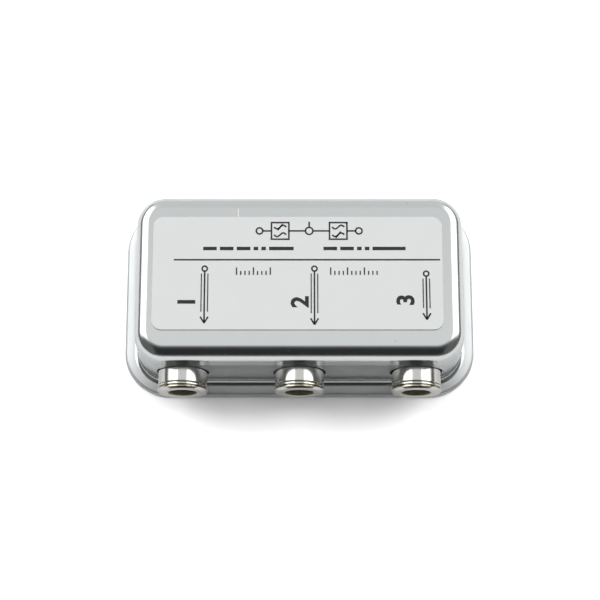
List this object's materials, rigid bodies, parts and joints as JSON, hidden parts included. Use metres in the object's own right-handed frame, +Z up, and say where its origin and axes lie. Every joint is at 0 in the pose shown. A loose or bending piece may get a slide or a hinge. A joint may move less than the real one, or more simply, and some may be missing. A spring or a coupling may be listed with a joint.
{
  "type": "antenna diplexer",
  "caption": "Drawn metal diplexer housing with a flanged rim, a flat label on top and threaded coaxial jacks in its front wall.",
  "frame": {"origin": "middle of the base plate's flat underside, midway along and across the flange's rim", "axes": "+Z up through the flat top, -Y out of the front wall along the jacks, +X along the row of jacks"},
  "size_m": [0.1126, 0.0653, 0.0318],
  "materials": {
    "nickel_plated_steel": "bright nickel plating on drawn steel",
    "nickel_plated_brass": "bright nickel plating on turned brass",
    "tinned_steel": "dull tin plating",
    "label_film": "satin silver film",
    "fluoropolymer": "smooth, off-white",
    "gold_plated_bronze": "thin gold plating",
    "glass_epoxy": "green solder mask",
    "enamelled_copper": "clear enamel",
    "fired_ceramic": "unglazed",
    "turned_brass": "bare, turned"
  },
  "bodies": {
    "root": {"base_plate": "tinned_steel", "capacitor_1": "fired_ceramic", "capacitor_2": "fired_ceramic", "capacitor_3": "fired_ceramic", "ceramic_filter": "fired_ceramic", "circuit_board": "glass_epoxy", "coil_1": "enamelled_copper", "coil_2": "enamelled_copper", "coil_3": "enamelled_copper", "coil_4": "enamelled_copper", "housing_cover": "nickel_plated_steel", "jack_body_1": "nickel_plated_brass", "jack_body_2": "nickel_plated_brass", "jack_body_3": "nickel_plated_brass", "jack_bush_1": "nickel_plated_brass", "jack_bush_2": "nickel_plated_brass", "jack_bush_3": "nickel_plated_brass", "jack_carrier": "tinned_steel", "jack_contact_1": "gold_plated_bronze", "jack_contact_2": "gold_plated_bronze", "jack_contact_3": "gold_plated_bronze", "jack_insulator_1": "fluoropolymer", "jack_insulator_2": "fluoropolymer", "jack_insulator_3": "fluoropolymer", "jack_nut_1": "nickel_plated_brass", "jack_nut_2": "nickel_plated_brass", "jack_nut_3": "nickel_plated_brass", "label": "label_film", "shield_wall": "tinned_steel", "standoff_1": "turned_brass", "standoff_2": "turned_brass", "standoff_3": "turned_brass", "standoff_4": "turned_brass", "trimmer_1": "fired_ceramic", "trimmer_2": "fired_ceramic"}
  },
  "joints": []
}
